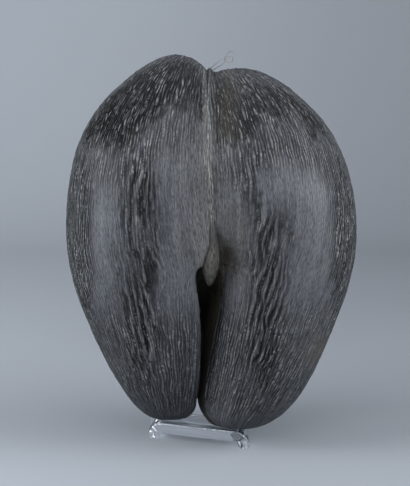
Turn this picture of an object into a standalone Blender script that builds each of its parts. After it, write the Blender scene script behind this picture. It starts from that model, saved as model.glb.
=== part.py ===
"""Coco de mer nut standing on a low clear bridge stand. Blender 4.5, metres, +Z up, front face towards -Y.

The nut is one solid: two lobes that share a web in their upper half, with a shallow notch on top, a raised
seam down the front that ends in a blunt tongue, and a cleft between the lower halves. Its skin is a loft
of unlike sections. Each section lies in a plane that holds the depth axis. In the front view it runs from an
edge point, on the seam or on the cleft's rim, to an outer point on the silhouette.
"""

import math

import bmesh
import bpy
import numpy as np

# Nut, driving dimensions
HALF_WIDTH = 0.1157
CREST_HEIGHT = 0.2936
SEAM_END_HEIGHT = 0.1460
BACK_SEAM_END_HEIGHT = 0.0700
TIP_X = 0.0280
FRONT_DEPTH = 0.081
BACK_DEPTH = 0.089
TOP_ROUNDING = 0.105
TIP_ROUNDING = 0.165

# Right-hand silhouette in the front view, as (x, z), from the top of the hump to the lobe's tip
OUTER = (
    (0.028, CREST_HEIGHT), (0.040, 0.2908), (0.054, 0.2833), (0.070, 0.2712), (0.086, 0.2556), (0.100, 0.2350),
    (0.109, 0.2114), (0.1142, 0.1848), (HALF_WIDTH, 0.1590), (0.1138, 0.1340), (0.1080, 0.1097),
    (0.1000, 0.0875), (0.0906, 0.0644), (0.0792, 0.0407), (0.0680, 0.0226), (0.0555, 0.0090), (0.0428, 0.0022),
    (TIP_X, 0.0),
)
# Share of the silhouette's length that lies above the section at the foot of the seam
SHOULDER_SHARE = 0.61
# Rims of the cleft in the front view, from the foot of the seam round the arch and down to the lobe's tip
LOWER_RIM = (
    (0.0052, 0.0640), (0.0038, 0.0480), (0.0034, 0.0320), (0.0043, 0.0190), (0.0064, 0.0130),
    (0.0100, 0.0076), (0.0160, 0.0030), (TIP_X, 0.0),
)
FRONT_RIM = (
    (0.0, SEAM_END_HEIGHT), (0.0074, 0.1425), (0.0120, 0.1350), (0.0126, 0.1250), (0.0100, 0.1080),
    (0.0070, 0.0860),
)
BACK_RIM = ((0.0, BACK_SEAM_END_HEIGHT), (0.0042, 0.0660))

# Profiles against height, as (z, value). Depths are shares of the lobe's full depth at that height.
FRONT_VALLEY = ((0.0, 0.92), (0.110, 0.89), (0.160, 0.88), (0.210, 0.91), (0.270, 0.96), (CREST_HEIGHT, 0.98))
BACK_VALLEY = ((0.0, 0.88), (0.070, 0.76), (0.150, 0.70), (0.210, 0.76), (0.255, 0.88), (CREST_HEIGHT, 0.98))
FRONT_DIP = (
    (0.0, 0.45), (0.030, 0.36), (0.100, 0.29), (0.125, 0.26), (0.136, 0.20), (0.147, 0.12), (0.165, 0.06),
    (0.205, 0.0),
)
BACK_DIP = ((0.0, 0.45), (0.030, 0.34), (0.060, 0.26), (0.080, 0.16), (0.120, 0.08), (0.200, 0.06), (0.280, 0.0))
# How far the dip beside the edge turns from a smooth valley (0) into the rounded rim of a lobe (1)
FRONT_TURN = ((0.132, 1.0), (0.180, 0.0))
BACK_TURN = ((0.064, 1.0), (0.110, 0.0))
DIP_WIDTH = 0.016
CREST_SHARE = 0.44
LOBE_OF_ITS_OWN = (0.010, 0.070)

# Mesh of the loft
ROWS_ABOVE = 22
ROWS_BELOW = 16
COLUMNS_INNER = 13
COLUMNS_OUTER = 19
WALL_COLUMNS = 9
ROWS_CROWDED_TO_TOP = 1.5
ROWS_CROWDED_TO_ARCH_AND_TIP = 0.55
COLUMNS_CROWDED_TO_EDGE = 1.4

# Growth that makes the two lobes unlike
TOP_SKEW = 0.0058
TOP_SKEW_REACH = 0.018
TOP_SKEW_FROM = 0.12
TOP_SKEW_RUN = 0.11
NOTCH_DIP = 0.0066
NOTCH_REACH = 0.0115
NOTCH_FROM = 0.21
NOTCH_RUN = 0.08
CLEFT_LEAN = 0.0060
CLEFT_TOP = 0.135
CLEFT_REACH = 0.080
CLEFT_SLANT = 0.19
SLANT_PIVOT = 0.0486
# Share of the slant against height, as (z, share)
SLANT_SHARE = (
    (0.0, 0.50), (0.010, 0.57), (0.022, 0.74), (0.035, 0.93), (0.045, 1.0), (0.120, 1.0), (0.140, 0.84),
    (0.160, 0.50), (0.180, 0.16), (0.200, 0.0),
)
TIP_TWIST = 0.015
TWIST_REACH = 0.015
WALL_BULGE_SHARE = 0.45

# Wrinkled ridges
RIDGE_HEIGHT = 0.0011
RIDGE_STEEPNESS = 0.22
RIDGE_LENGTH = 0.022
SEAM_RIDGE_HEIGHT = 0.0012
WALL_RELIEF_SHARE = 0.4
WALL_RELIEF_FULL_AT = 0.004
FLAT_HEIGHT = 0.0006
SEED = 7

# Tongue at the foot of the seam: its centre line in the side view, as (y, z), and its thickest section
TONGUE_LINE = ((-0.0530, 0.205), (-0.0568, 0.176), (-0.0598, 0.152), (-0.0592, 0.132), (-0.0560, 0.121))
TONGUE_X = 0.0012
TONGUE_HALF_WIDTH = 0.0086
TONGUE_HALF_DEPTH = 0.0120
TONGUE_ROUNDNESS = 2.6
TONGUE_RINGS = 12
TONGUE_SIDES = 16

# Stand: one bent strip of clear sheet. Its legs run straight back, and its front and back edges are cut
# askew, so that its right end stands nearer.
STAND_WIDTH = 0.0820
STAND_DEPTH = 0.0400
STAND_HEIGHT = 0.0138
SHEET = 0.0085
BEND_RADIUS = 0.0115
BEND_STEPS = 8
POLISHED_EDGE = 0.0007
STAND_SKEW = math.tan(math.radians(-23))
STAND_X = -0.0105
STAND_Y = 0.0055
CLEARANCE = 0.0003


def at(profile, heights):
    """Value of a profile of (height, value) pairs at each height."""
    pairs = np.array(profile)
    return np.interp(heights, pairs[:, 0], pairs[:, 1])


def smooth(share):
    share = np.clip(share, 0, 1)
    return share * share * (3 - 2 * share)


def curve_through(points, shares):
    """Points at the given shares of the length of a smooth Catmull-Rom curve through the points."""
    p = np.array(points, float)
    ends = np.vstack([2 * p[0] - p[1], p, 2 * p[-1] - p[-2]])
    u = np.linspace(0, 1, 24, endpoint=False)[:, None]
    spans = []
    for a, b, c, d in zip(ends, ends[1:], ends[2:], ends[3:]):
        cubic = 2 * b + (c - a) * u + (2 * a - 5 * b + 4 * c - d) * u**2 + (3 * b - a - 3 * c + d) * u**3
        spans.append(0.5 * cubic)
    fine = np.vstack(spans + [p[-1:]])
    length = np.concatenate([[0], np.cumsum(np.linalg.norm(np.diff(fine, axis=0), axis=1))])
    wanted = np.asarray(shares) * length[-1]
    return np.stack([np.interp(wanted, length, axis) for axis in fine.T], axis=-1)


def row_shares():
    """Places of the rows: along the seam, crowded to the top, and along the rim, crowded to both its ends."""
    above = np.linspace(0, 1, ROWS_ABOVE + 1) ** ROWS_CROWDED_TO_TOP
    turn = np.linspace(0, 2 * math.pi, ROWS_BELOW + 1)[1:]
    return above, (turn - ROWS_CROWDED_TO_ARCH_AND_TIP * np.sin(turn)) / (2 * math.pi)


def edge_points(seam_end, rim):
    """Edge point of every section, top row first: down the seam, then down the rim of the cleft."""
    above, below = row_shares()
    seam = np.stack([np.zeros_like(above), CREST_HEIGHT + (seam_end - CREST_HEIGHT) * above], -1)
    return np.vstack([seam, curve_through(rim + LOWER_RIM, below)])


def outer_points():
    """Outer point of every section, on the silhouette."""
    above, below = row_shares()
    shares = np.concatenate([SHOULDER_SHARE * above, SHOULDER_SHARE + (1 - SHOULDER_SHARE) * below])
    return curve_through(OUTER, shares)


def crest_x(edge, outer):
    """Place of the crest of every section: a share of the way out from the seam's plane, or, where a lobe
    stands on its own near its tip, from the lobe's own edge. Also gives the plane it is measured from."""
    low, high = LOBE_OF_ITS_OWN
    origin = edge[:, 0] * smooth((high - edge[:, 1]) / (high - low))
    return origin + CREST_SHARE * (outer[:, 0] - origin), origin


def lobe_depth(z):
    """Share of the full depth where a section's crest is at height z. It grows from the top crest as an
    ellipse does, and closes towards the tip as a longer one."""
    top = np.clip(1 - (CREST_HEIGHT - z) / TOP_ROUNDING, 0, 1)
    tip = np.clip(1 - z / TIP_ROUNDING, 0, 1)
    return np.sqrt(1 - top**2) * np.sqrt(1 - tip**2)


def half_skin(edge, outer, depth, valley, dip, turn):
    """One side of a lobe, front or back, as a grid of points: rows of sections, columns from the edge to the
    silhouette. Each section rises from the valley to its crest, then rounds off to the outer point as a
    quarter of an ellipse. Beside the edge it dips, as a soft valley or as the rounded rim of the cleft."""
    share = np.linspace(0, 1, COLUMNS_INNER + 1) ** COLUMNS_CROWDED_TO_EDGE
    angle = np.linspace(0, math.pi / 2, COLUMNS_OUTER + 1)[1:]
    crest, origin = (value[:, None] for value in crest_x(edge, outer))
    edge_x, edge_z, outer_x = edge[:, :1], edge[:, 1:], outer[:, :1]
    inner_x = edge_x + (crest - edge_x) * share
    x = np.hstack([inner_x, crest + (outer_x - crest) * np.sin(angle)])
    slope = (outer[:, 1:] - edge_z) / np.maximum(outer_x - edge_x, 1e-9)
    z = edge_z + slope * (x - edge_x)
    full_depth = depth * lobe_depth(edge_z + slope * (crest - edge_x))
    low = at(valley, edge_z)
    rise = smooth((inner_x - origin) / np.maximum(crest - origin, 1e-9))
    profile = np.hstack([low + (1 - low) * rise, np.tile(np.cos(angle), (len(edge), 1))])
    near = np.clip((x - edge_x) / np.minimum(DIP_WIDTH, 0.9 * (crest - edge_x) + 1e-9), 0, 1)
    rounded = np.sqrt(1 - (1 - near) ** 2)
    mix = at(turn, edge_z)
    profile = profile - at(dip, edge_z) * (1 - (1 - mix) * smooth(near) - mix * rounded)
    return np.stack([x, full_depth * profile, z], -1)


def lobe_patches():
    """The right lobe's skin as two grids of points: the outer skin from the front edge round to the back
    edge, and the wall of the cleft between its two rims."""
    outer = outer_points()
    front = half_skin(
        edge_points(SEAM_END_HEIGHT, FRONT_RIM), outer, -FRONT_DEPTH, FRONT_VALLEY, FRONT_DIP, FRONT_TURN
    )
    back = half_skin(
        edge_points(BACK_SEAM_END_HEIGHT, BACK_RIM), outer, BACK_DEPTH, BACK_VALLEY, BACK_DIP, BACK_TURN
    )
    skin = np.concatenate([front, back[:, -2::-1]], axis=1)
    share = np.linspace(0, 1, WALL_COLUMNS + 1)[None, :, None]
    wall = front[ROWS_ABOVE:, :1] * (1 - share) + back[ROWS_ABOVE:, :1] * share
    wall[..., 0] *= 1 - WALL_BULGE_SHARE * np.sin(math.pi * share[..., 0])
    return skin, wall


def grow(points, side):
    """The point grid as it grew: the top is notched over the seam, the left lobe stands higher, the cleft
    leans to the left towards its foot and slants to the left towards the back, and the tips are set off from
    each other in depth."""
    x, y, z = side * points[..., 0], points[..., 1], points[..., 2]
    low = np.clip(1 - z / CLEFT_TOP, 0, 1)
    near = np.clip(1 - (x / CLEFT_REACH) ** 2, 0, 1) ** 2
    slant = CLEFT_SLANT * at(SLANT_SHARE, z) * (y + SLANT_PIVOT)
    shift = CLEFT_LEAN * low + slant
    notch = NOTCH_DIP * np.exp(-((x / NOTCH_REACH) ** 2)) * smooth((z - NOTCH_FROM) / NOTCH_RUN)
    skew = TOP_SKEW * np.tanh(x / TOP_SKEW_REACH) * smooth((z - TOP_SKEW_FROM) / TOP_SKEW_RUN)
    twist = TIP_TWIST * np.tanh(x / TWIST_REACH) * low**2
    return np.stack([x - shift * near, y - twist, z - notch - skew], -1)


def ridges(points, rng):
    """Relief for a grid of points: neighbouring columns stand and sink by turns, and a random height that
    changes every RIDGE_LENGTH down each column breaks them into lengthwise wrinkles. Where the columns run
    close together the relief is lower."""
    rows, columns = points.shape[:2]
    middle = points[:, columns // 4]
    steps = np.linalg.norm(np.diff(middle, axis=0), axis=1) / RIDGE_LENGTH
    place = np.concatenate([[0], np.cumsum(steps)])[:, None] + rng.random(columns)
    knot = place.astype(int)
    blend = smooth(place - knot)
    rough = rng.standard_normal((knot.max() + 2, columns))
    column = np.arange(columns)
    drawn = rough[knot, column] * (1 - blend) + rough[knot + 1, column] * blend
    height = np.clip(0.7 * np.cos(math.pi * column) + 0.8 * drawn, -1.6, 1.6)
    pitch = np.linalg.norm(np.gradient(points, axis=1), axis=-1)
    return height * np.minimum(RIDGE_HEIGHT, RIDGE_STEEPNESS * pitch)


def grid_faces(rows, columns, start, turned):
    """Quads of a grid of rows by columns points whose first index is start, wound the other way if turned."""
    index = start + np.arange(rows * columns).reshape(rows, columns)
    quads = np.stack([index[:-1, :-1], index[1:, :-1], index[1:, 1:], index[:-1, 1:]], -1).reshape(-1, 4)
    return (quads[:, ::-1] if turned else quads).tolist()


def nut_mesh():
    """The nut's skin: four patches sewn into one closed surface, then raised into ridges."""
    rng = np.random.default_rng(SEED)
    skin, wall = lobe_patches()
    points, faces, relief = [], [], []
    count = 0
    for side in (1, -1):
        for patch in (skin, wall):
            rows, columns = patch.shape[:2]
            height = ridges(patch, rng)
            if patch is skin:
                height[:, 0] = SEAM_RIDGE_HEIGHT * (np.arange(rows) < ROWS_ABOVE)
            else:
                height *= WALL_RELIEF_SHARE * np.clip(patch[..., 0] / WALL_RELIEF_FULL_AT, 0, 1)
            points.append(grow(patch, side).reshape(-1, 3))
            relief.append(height.ravel())
            faces += grid_faces(rows, columns, count, turned=(side < 0) != (patch is wall))
            count += rows * columns
    mesh = bpy.data.meshes.new("nut")
    mesh.from_pydata(np.vstack(points).tolist(), [], faces)
    layer = mesh.attributes.new("relief", "FLOAT", "POINT")
    layer.data.foreach_set("value", np.concatenate(relief).astype(np.float32))
    sew(mesh)
    raise_relief(mesh)
    return mesh


def sew(mesh):
    """Joins the patches where their points meet."""
    bm = bmesh.new()
    bm.from_mesh(mesh)
    bmesh.ops.remove_doubles(bm, verts=bm.verts, dist=1e-6)
    bmesh.ops.dissolve_degenerate(bm, edges=bm.edges, dist=1e-7)
    bm.to_mesh(mesh)
    bm.free()


def raise_relief(mesh):
    """Moves each point along its normal by its relief, and presses the lobes' tips flat."""
    count = len(mesh.vertices)
    co = np.empty(count * 3, np.float32)
    normal = np.empty(count * 3, np.float32)
    relief = np.empty(count, np.float32)
    mesh.vertices.foreach_get("co", co)
    mesh.vertex_normals.foreach_get("vector", normal)
    mesh.attributes["relief"].data.foreach_get("value", relief)
    co = co.reshape(-1, 3) + normal.reshape(-1, 3) * relief[:, None]
    co[:, 2] = np.maximum(co[:, 2], FLAT_HEIGHT) - FLAT_HEIGHT
    mesh.vertices.foreach_set("co", co.ravel())
    mesh.update()


def tongue_object():
    """Blunt tongue that grows out of the foot of the seam and hangs in front of the cleft's arch: a round
    tube along its centre line, thickest in the middle of its length and closed at both ends."""
    turn = np.linspace(0, math.pi, TONGUE_RINGS + 2)[1:-1]
    share = (1 - np.cos(turn)) / 2
    line = curve_through(TONGUE_LINE, share)
    size = (1 - np.abs(2 * share - 1) ** TONGUE_ROUNDNESS) ** (1 / TONGUE_ROUNDNESS)
    around = np.linspace(0, 2 * math.pi, TONGUE_SIDES, endpoint=False)
    x = TONGUE_X + TONGUE_HALF_WIDTH * size[:, None] * np.cos(around)
    y = line[:, :1] + TONGUE_HALF_DEPTH * size[:, None] * np.sin(around)
    z = np.tile(line[:, 1:] - FLAT_HEIGHT, (1, TONGUE_SIDES))
    bm = bmesh.new()
    rings = [[bm.verts.new(point) for point in zip(*ring)] for ring in zip(x, y, z)]
    for upper, lower in zip(rings, rings[1:]):
        for k in range(TONGUE_SIDES):
            bm.faces.new((upper[k - 1], upper[k], lower[k], lower[k - 1]))
    bm.faces.new(rings[0])
    bm.faces.new(rings[-1])
    bmesh.ops.recalc_face_normals(bm, faces=bm.faces)
    mesh = bpy.data.meshes.new("tongue")
    bm.to_mesh(mesh)
    bm.free()
    return bpy.data.objects.new("tongue_shape", mesh)


def bridge_outline():
    """Outline of the bent strip in its own front view, as (x, z), from the left foot's outer corner."""
    half = STAND_WIDTH / 2
    centre = np.array([-half + BEND_RADIUS, STAND_HEIGHT - BEND_RADIUS])
    angle = np.linspace(math.pi, math.pi / 2, BEND_STEPS + 1)
    arc = np.stack([np.cos(angle), np.sin(angle)], -1)
    outside = np.vstack([[-half, 0.0], centre + BEND_RADIUS * arc])
    inside = np.vstack([centre + (BEND_RADIUS - SHEET) * arc[::-1], [-half + SHEET, 0.0]])
    mirror = np.array([-1, 1])
    return np.vstack([outside, outside[::-1] * mirror, inside[::-1] * mirror, inside])


def material(name, colour, roughness, transmission=0.0):
    made = bpy.data.materials.new(name)
    made.use_nodes = True
    shader = made.node_tree.nodes["Principled BSDF"]
    shader.inputs["Base Color"].default_value = (*colour, 1.0)
    shader.inputs["Roughness"].default_value = roughness
    shader.inputs["Metallic"].default_value = 0.0
    shader.inputs["Transmission Weight"].default_value = transmission
    return made


def build_nut(parts, cutters):
    """The nut, standing on the bridge's top with the tips' flats."""
    nut = bpy.data.objects.new("nut", nut_mesh())
    nut.location.z = STAND_HEIGHT + CLEARANCE
    parts.objects.link(nut)
    tongue = tongue_object()
    tongue.location.z = nut.location.z
    tongue.hide_render = True
    tongue.display_type = "WIRE"
    cutters.objects.link(tongue)
    union = nut.modifiers.new("tongue", "BOOLEAN")
    union.operation = "UNION"
    union.object = tongue
    nut.data.materials.append(material("nut_shell", (0.050, 0.050, 0.053), 0.5))
    nut.data.shade_smooth()
    return nut


def build_stand(parts):
    """The clear bridge: its outline drawn out to its depth, askew, with polished edges."""
    bm = bmesh.new()
    corners = [bm.verts.new((x, STAND_SKEW * x - STAND_DEPTH / 2, z)) for x, z in bridge_outline()]
    face = bm.faces.new(corners)
    drawn = bmesh.ops.extrude_face_region(bm, geom=[face])
    moved = [v for v in drawn["geom"] if isinstance(v, bmesh.types.BMVert)]
    bmesh.ops.translate(bm, verts=moved, vec=(0, STAND_DEPTH, 0))
    bmesh.ops.recalc_face_normals(bm, faces=bm.faces)
    mesh = bpy.data.meshes.new("stand")
    bm.to_mesh(mesh)
    bm.free()
    stand = bpy.data.objects.new("stand", mesh)
    stand.location = (STAND_X, STAND_Y, 0)
    parts.objects.link(stand)
    edges = stand.modifiers.new("polished_edges", "BEVEL")
    edges.width = POLISHED_EDGE
    edges.segments = 2
    edges.limit_method = "ANGLE"
    edges.angle_limit = math.radians(50)
    stand.data.materials.append(material("clear_sheet", (0.92, 0.94, 0.95), 0.05, transmission=1.0))
    stand.data.set_sharp_from_angle(angle=math.radians(35))
    return stand


def main():
    for obj in list(bpy.data.objects):
        bpy.data.objects.remove(obj)
    parts = bpy.data.collections.new("coco_de_mer")
    cutters = bpy.data.collections.new("joined_shapes")
    for collection in (parts, cutters):
        bpy.context.scene.collection.children.link(collection)
    nut = build_nut(parts, cutters)
    stand = build_stand(parts)
    corners = np.array(nut.bound_box)
    middle = (corners.min(0) + corners.max(0)) / 2
    for obj in (nut, stand, *cutters.objects):
        obj.location.x -= middle[0]
        obj.location.y -= middle[1]


main()
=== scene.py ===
import itertools
import math

import bpy
import numpy as np
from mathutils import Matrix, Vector


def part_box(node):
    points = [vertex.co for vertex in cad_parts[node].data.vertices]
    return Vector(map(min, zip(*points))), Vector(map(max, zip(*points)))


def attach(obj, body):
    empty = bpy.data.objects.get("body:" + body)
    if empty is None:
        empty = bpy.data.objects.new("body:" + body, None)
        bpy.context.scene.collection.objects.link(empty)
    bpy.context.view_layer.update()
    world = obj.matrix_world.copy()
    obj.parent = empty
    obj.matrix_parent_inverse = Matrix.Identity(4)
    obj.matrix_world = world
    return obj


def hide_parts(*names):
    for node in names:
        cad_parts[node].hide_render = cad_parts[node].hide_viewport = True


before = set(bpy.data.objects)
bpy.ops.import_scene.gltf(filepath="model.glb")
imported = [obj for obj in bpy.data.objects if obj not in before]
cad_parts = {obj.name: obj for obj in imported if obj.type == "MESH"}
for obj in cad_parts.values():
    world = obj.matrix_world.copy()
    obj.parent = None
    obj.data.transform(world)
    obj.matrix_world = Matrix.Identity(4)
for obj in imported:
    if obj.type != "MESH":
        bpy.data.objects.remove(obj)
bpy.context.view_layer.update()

print("frame loaded")


def soft(share):  # 0 to 1 with level ends
    share = np.clip(share, 0, 1)
    return share * share * (3 - 2 * share)


def along(pairs, place):  # value of a line of (place, value) pairs at each place
    x, y = np.array(pairs).T
    return np.interp(place, x, y)


def bell(distance, width):  # 1 in the middle, fading as a bell curve
    return np.exp(-((distance / width) ** 2))


def grown(place, start, over):  # 0 up to a start, then softly up to 1 over a distance
    return soft((place - start) / over)


def faded(place, end, over):  # 0 from an end on, and 1 by a distance before it
    return soft((end - place) / over)


def curveThrough(points, shares, eased=0):
    # Points at the given shares of the length of a smooth Catmull-Rom curve through the points, whose bends are
    # eased by averaging each fine point with its neighbours a number of times
    p = np.array(points, float)
    ends = np.vstack([2 * p[0] - p[1], p, 2 * p[-1] - p[-2]])
    u = np.linspace(0, 1, 24, endpoint=False)[:, None]
    spans = []
    for a, b, c, d in zip(ends, ends[1:], ends[2:], ends[3:]):
        cubic = 2 * b + (c - a) * u + (2 * a - 5 * b + 4 * c - d) * u**2 + (3 * b - a - 3 * c + d) * u**3
        spans.append(0.5 * cubic)
    fine = np.vstack(spans + [p[-1:]])
    for _ in range(eased):
        fine[1:-1] = (fine[:-2] + 2 * fine[1:-1] + fine[2:]) / 4
    length = np.concatenate([[0], np.cumsum(np.linalg.norm(np.diff(fine, axis=0), axis=1))])
    return np.stack([np.interp(np.asarray(shares) * length[-1], length, axis) for axis in fine.T], axis=-1)


def cloudNoise(points, size, seed):
    # Heights drawn for the corners of a lattice of cubes of that size, blended softly inside each cube. The
    # lattice repeats, and the shift keeps all places in it above zero.
    count, shift = 40, 200.0
    lattice = np.random.default_rng(seed).standard_normal((count, count, count))
    place = points / size + shift
    corner = np.floor(place).astype(int)
    share = soft(place - corner)
    total = np.zeros(points.shape[:-1])
    for step in itertools.product((0, 1), repeat=3):
        index = (corner + step) % count
        weight = np.prod(np.where(step, share, 1 - share), axis=-1)
        total += weight * lattice[index[..., 0], index[..., 1], index[..., 2]]
    return total


def runLength(points):  # distance down each column of a grid of points
    steps = np.linalg.norm(np.diff(points, axis=0), axis=-1)
    return np.concatenate([np.zeros((1, points.shape[1])), np.cumsum(steps, axis=0)])


def smear(values, run, reach):
    # Mean of each value with the others of its column, weighted by a bell curve of the distance between them
    total, weight = values.copy(), np.ones_like(values)
    for step in range(1, len(values)):
        near = bell(run[step:] - run[:-step], reach)
        if near.max() < 0.01:
            break
        total[step:] += near * values[:-step]
        total[:-step] += near * values[step:]
        weight[step:] += near
        weight[:-step] += near
    total /= weight
    return total / total.std()


def gridFaces(rows, columns, start, turned):
    # Quads between neighbouring points of a grid whose first index is start, wound the other way if turned
    index = start + np.arange(rows * columns).reshape(rows, columns)
    quads = np.stack([index[:-1, :-1], index[1:, :-1], index[1:, 1:], index[:-1, 1:]], -1).reshape(-1, 4)
    return quads[:, ::-1] if turned else quads


def addObject(name, data):
    added = bpy.data.objects.new(name, data)
    bpy.context.scene.collection.objects.link(added)
    return added


def addPiece(name, mesh, made):
    mesh.materials.append(made)
    mesh.shade_smooth()
    return addObject(name, mesh)


nut = {
    "middle": (0.0001, -0.0037),  # where its own axis stands in the frame
    "crestHeight": 0.2936,
    "seamEnd": 0.1460,  # height of the cleft's arch, in front and at the back
    "backSeamEnd": 0.0700,
    "frontDepth": 0.081,
    "backDepth": 0.089,
    "topRounding": 0.105,  # heights over which the depth grows from the top and closes at the tip
    "tipRounding": 0.165,
    "flatHeight": 0.0006,  # how much of the tips is cut off, where they stand
    "shoulderShare": 0.61,  # share of the silhouette's length that belongs to the rows of the seam
    "crestShare": 0.44,  # place of a section's crest on the way to the silhouette
    "dipWidth": 0.016,
    "ownLobe": (0.070, 0.060),  # height below which a lobe's crest is set by its own edge, and over how much
    "rowsAbove": 98,
    "rowsBelow": 72,
    "columnsInner": 58,
    "columnsOuter": 72,
    "wallColumns": 22,
    "leftRimShape": (0.006, 0.45, 0.004, 0.016),  # reach, share of the dip, half width and height of the funnel
    "rightRimShape": (0.022, 1.0, 0.0125, 0.034),
    "backRimShape": (0.016, 1.0, 0.0, 0.010),
    "outlineEasing": 60,
    "easing": 60,
    "ridgeHeight": 0.00085,
    "furrowPitch": 0.0058,
    "rightLean": 0.15,  # of the furrows on the right lobe
    "straightShare": 0.5,  # how far the threads high up follow their own row and not the one at the arch
    "seed": 11,
}
outerLine = (  # the right-hand silhouette seen from the front, top to tip
    (0.028, nut["crestHeight"]), (0.040, 0.2908), (0.054, 0.2833), (0.070, 0.2712), (0.086, 0.2556),
    (0.100, 0.2350), (0.109, 0.2114), (0.1142, 0.1848), (0.1157, 0.1590), (0.1138, 0.1340), (0.1080, 0.1097),
    (0.1000, 0.0875), (0.0906, 0.0644), (0.0792, 0.0407), (0.0680, 0.0226), (0.0555, 0.0090),
    (0.0428, 0.0022), (0.0280, 0.0),
)
lowerRim = (  # the cleft's rims seen from the front, down to the tip
    (0.0052, 0.0640), (0.0038, 0.0480), (0.0034, 0.0320), (0.0043, 0.0190), (0.0064, 0.0130),
    (0.0100, 0.0076), (0.0160, 0.0030), (0.0280, 0.0),
)
frontRim = (
    (0.0, nut["seamEnd"]), (0.0074, 0.1425), (0.0120, 0.1350), (0.0126, 0.1250), (0.0100, 0.1080),
    (0.0070, 0.0860),
) + lowerRim
backRim = ((0.0, nut["backSeamEnd"]), (0.0042, 0.0660)) + lowerRim
frontForm = {  # against height: depth of the valley, dip beside the edge, and how round its rim is
    "valley": ((0.0, 0.92), (0.110, 0.89), (0.160, 0.88), (0.210, 0.91), (0.270, 0.96),
               (nut["crestHeight"], 0.98)),
    "dip": ((0.0, 0.45), (0.030, 0.36), (0.100, 0.29), (0.125, 0.25), (0.136, 0.225), (0.147, 0.205),
            (0.162, 0.135), (0.180, 0.05), (0.205, 0.0)),
    "turn": ((0.132, 1.0), (0.180, 0.0)),
}
backForm = {
    "valley": ((0.0, 0.88), (0.070, 0.76), (0.150, 0.70), (0.210, 0.76), (0.255, 0.88),
               (nut["crestHeight"], 0.98)),
    "dip": ((0.0, 0.45), (0.030, 0.34), (0.060, 0.26), (0.080, 0.16), (0.120, 0.08), (0.200, 0.06),
            (0.280, 0.0)),
    "turn": ((0.064, 1.0), (0.110, 0.0)),
}


def evened(values):  # softens the corners of a column of values, whose first and last stay
    values = values.copy()
    for _ in range(nut["easing"]):
        values[1:-1] = (values[:-2] + 2 * values[1:-1] + values[2:]) / 4
    return values


def rowShares():  # rows down the seam, crowded to the top, and down the rim, crowded to both its ends
    above = np.linspace(0, 1, nut["rowsAbove"] + 1) ** 1.5
    turn = np.linspace(0, 2 * math.pi, nut["rowsBelow"] + 1)[1:]
    return above, (turn - 0.55 * np.sin(turn)) / (2 * math.pi)


def lobeSide(rim, seamEnd, depth, form, rimShape):
    # Front or back of a lobe, row after row of sections. Each starts on the seam or the cleft's rim, rises to its
    # crest and rounds off to the silhouette as a quarter of an ellipse. Depths are shares of the depth at the
    # crest, which grows from the top and closes at the tip as ellipses do. The rim shape is for the arch.
    above, below = rowShares()
    down = nut["crestHeight"] + (seamEnd - nut["crestHeight"]) * above
    edge = np.vstack([np.stack([np.zeros_like(above), down], -1), curveThrough(rim, below)])
    cut = nut["shoulderShare"]
    outer = curveThrough(outerLine, np.concatenate([cut * above, cut + (1 - cut) * below]), nut["outlineEasing"])
    edgeX, edgeZ, outerX, outerZ = edge[:, :1], edge[:, 1:], outer[:, :1], outer[:, 1:]
    origin = edgeX * faded(edgeZ, *nut["ownLobe"])
    crest = origin + nut["crestShare"] * (outerX - origin)
    share = np.linspace(0, 1, nut["columnsInner"] + 1) ** 1.4
    angle = np.linspace(0, math.pi / 2, nut["columnsOuter"] + 1)[1:]
    innerX = crest * share + edgeX * (1 - share) ** (1 + soft((edgeZ - 0.03) / 0.05))
    x = np.hstack([innerX, crest + (outerX - crest) * np.sin(angle)])
    slope = (outerZ - edgeZ) / np.maximum(outerX - edgeX, 1e-9)
    z = edgeZ + slope * (x - edgeX)
    crestZ = edgeZ + slope * (crest - edgeX)
    top = np.clip(1 - (nut["crestHeight"] - crestZ) / nut["topRounding"], 0, 1)
    tip = np.clip(1 - crestZ / nut["tipRounding"], 0, 1)
    fullDepth = depth * np.sqrt(1 - top**2) * np.sqrt(1 - tip**2)
    low = evened(along(form["valley"], edgeZ))
    rise = soft((innerX - origin) / np.maximum(crest - origin, 1e-9))
    profile = np.hstack([low + (1 - low) * rise, np.tile(np.cos(angle), (len(edge), 1))])
    reach, sunk, funnel, climb = rimShape
    nearArch = soft((seamEnd + 0.045 - edgeZ) / 0.030)
    funnelShare = soft((seamEnd + climb - edgeZ) / climb)
    start = np.maximum(edgeX, funnel * funnelShare * soft((edgeZ - seamEnd + 0.05) / 0.03))
    width = np.minimum(nut["dipWidth"] + (reach - nut["dipWidth"]) * nearArch, 0.9 * (crest - edgeX) + 1e-9)
    near = np.clip((x - start) / width, 0, 1)
    mix = evened(along(form["turn"], edgeZ))
    rounded = np.sqrt(1 - (1 - near) ** 2)
    dip = evened(along(form["dip"], edgeZ)) * (1 + (sunk - 1) * soft((seamEnd - edgeZ) / 0.020))
    profile -= dip * (1 - (1 - mix) * soft(near) - mix * rounded)
    return np.stack([x, fullDepth * profile, z], -1)


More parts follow.
